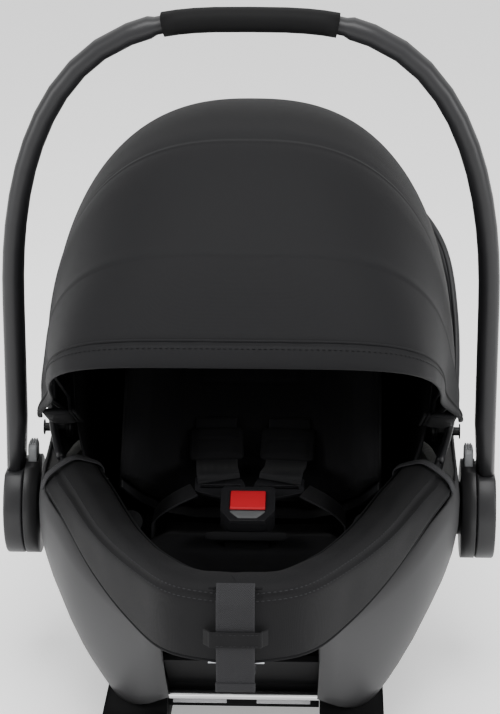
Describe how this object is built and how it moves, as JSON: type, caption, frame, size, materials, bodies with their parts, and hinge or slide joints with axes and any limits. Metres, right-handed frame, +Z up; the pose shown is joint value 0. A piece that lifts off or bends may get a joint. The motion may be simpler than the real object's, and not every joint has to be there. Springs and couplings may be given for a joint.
{
  "type": "infant car seat",
  "caption": "Rear-facing infant carrier: padded tub with three-point harness, sliding headrest, folding hood, swivelling carry handle, rocker base and docking bars.",
  "frame": {"origin": "on the floor under the middle of the seat's length and width", "axes": "+X across the seat, +Y towards the head end, +Z up from the floor"},
  "size_m": [0.44, 0.66, 0.6059],
  "materials": {
    "shell_plastic": "fine-grained moulded plastic",
    "foam": "moulded bead foam",
    "cover_fabric": "woven polyester",
    "lip_fabric": "padded woven polyester",
    "base_plastic": "fine-grained moulded plastic",
    "bar_chrome": "polished steel",
    "foot_rubber": "matt rubber",
    "panel_plastic": "satin moulded plastic",
    "label_white": "blank printed film",
    "handle_plastic": "satin moulded plastic",
    "grip_rubber": "soft-touch rubber",
    "housing_plastic": "satin moulded plastic",
    "zinc": "zinc-plated steel",
    "spring_steel": "drawn spring wire",
    "button_grey": "satin moulded plastic",
    "canopy_fabric": "stretched woven polyester",
    "hoop_plastic": "moulded plastic",
    "pad_fabric": "padded jersey",
    "webbing": "woven polyester webbing",
    "buckle_plastic": "moulded plastic",
    "button_red": "moulded plastic",
    "elastic": "woven elastic",
    "tab_grey": "satin moulded plastic"
  },
  "bodies": {
    "carrier": {"seat_shell": "shell_plastic", "foam_liner": "foam", "seat_cover": "cover_fabric", "lip_pad": "lip_fabric", "base_rail_left": "base_plastic", "base_rail_right": "base_plastic", "base_pan": "base_plastic", "docking_bar_front": "bar_chrome", "docking_bar_rear": "bar_chrome", "foot_pads": "foot_rubber", "side_panel_left": "panel_plastic", "side_panel_right": "panel_plastic", "label_plates": "label_white", "hub_housing_left": "housing_plastic", "hub_housing_right": "housing_plastic", "handle_axles": "zinc", "button_spring_left": "spring_steel", "button_spring_right": "spring_steel", "canopy_panel_rear": "canopy_fabric", "canopy_hoop_rear": "hoop_plastic", "canopy_pivots": "hoop_plastic", "insert_seat": "pad_fabric", "insert_bolsters": "pad_fabric", "shoulder_straps": "webbing", "rear_straps": "webbing", "lap_straps": "webbing", "crotch_strap": "webbing", "crotch_anchor": "zinc", "buckle_body": "buckle_plastic", "buckle_tongues": "buckle_plastic", "crotch_pad": "pad_fabric", "adjuster_strap": "webbing", "adjuster_body": "zinc", "strap_yoke": "zinc", "rear_bracket": "shell_plastic", "cover_bands": "elastic", "band_tab": "tab_grey", "screws": "zinc"},
    "handle": {"handle_frame": "handle_plastic", "handle_grip": "grip_rubber", "handle_hub_left": "handle_plastic", "handle_hub_right": "handle_plastic", "detent_rings": "zinc"},
    "release_left": {"release_button_left": "button_grey", "lock_bolt_left": "zinc"},
    "release_right": {"release_button_right": "button_grey", "lock_bolt_right": "zinc"},
    "canopy_front": {"canopy_panel_front": "canopy_fabric", "canopy_rim": "canopy_fabric"},
    "canopy_mid": {"canopy_panel_mid": "canopy_fabric", "canopy_hoop_mid": "hoop_plastic"},
    "headrest": {"headrest_shell": "shell_plastic", "headrest_pad": "pad_fabric", "shoulder_pads": "pad_fabric"},
    "headrest_catch": {"headrest_catch": "hoop_plastic"},
    "buckle_button": {"buckle_button": "button_red"},
    "adjuster_lever": {"adjuster_lever": "hoop_plastic"},
    "release_lever": {"release_lever": "button_grey"}
  },
  "joints": [
    {"name": "handle_pivot", "type": "hinge", "parent": "carrier", "child": "handle", "pos_m": [0, 0.01, 0.153], "axis": [-1, 0, 0], "range_deg": [0, 105]},
    {"name": "release_left_press", "type": "slide", "parent": "carrier", "child": "release_left", "axis": [0, 0, -1], "range_m": [0, 0.005], "stiffness_N_per_m": 600, "springref_m": -0.004, "deforming": ["button_spring_left"]},
    {"name": "release_right_press", "type": "slide", "parent": "carrier", "child": "release_right", "axis": [0, 0, -1], "range_m": [0, 0.005], "stiffness_N_per_m": 600, "springref_m": -0.004, "deforming": ["button_spring_right"]},
    {"name": "canopy_fold", "type": "hinge", "parent": "carrier", "child": "canopy_front", "pos_m": [0, 0.04, 0.216], "axis": [-1, 0, 0], "range_deg": [0, 75]},
    {"name": "canopy_mid_fold", "type": "hinge", "parent": "carrier", "child": "canopy_mid", "pos_m": [0, 0.04, 0.216], "axis": [-1, 0, 0], "range_deg": [0, 37.5]},
    {"name": "headrest_slide", "type": "slide", "parent": "carrier", "child": "headrest", "axis": [0, 0.7218, 0.6921], "range_m": [0, 0.075], "deforming": ["shoulder_straps", "rear_straps"]},
    {"name": "headrest_catch_press", "type": "slide", "parent": "headrest", "child": "headrest_catch", "axis": [0, -0.7218, -0.6921], "range_m": [0, 0.005], "stiffness_N_per_m": 400, "springref_m": -0.003},
    {"name": "buckle_button_press", "type": "slide", "parent": "carrier", "child": "buckle_button", "axis": [0, 0.342, -0.9397], "range_m": [0, 0.004], "stiffness_N_per_m": 800, "springref_m": -0.003},
    {"name": "adjuster_lever_press", "type": "slide", "parent": "carrier", "child": "adjuster_lever", "axis": [0, 1, 0], "range_m": [0, 0.004], "stiffness_N_per_m": 400, "springref_m": -0.003},
    {"name": "release_lever_slide", "type": "slide", "parent": "carrier", "child": "release_lever", "axis": [0, 0.7218, 0.6921], "range_m": [0, 0.008], "stiffness_N_per_m": 800, "springref_m": -0.004}
  ],
  "couplings": [
    {"joint": "canopy_mid_fold", "follows": "canopy_fold", "ratio": 0.5}
  ]
}
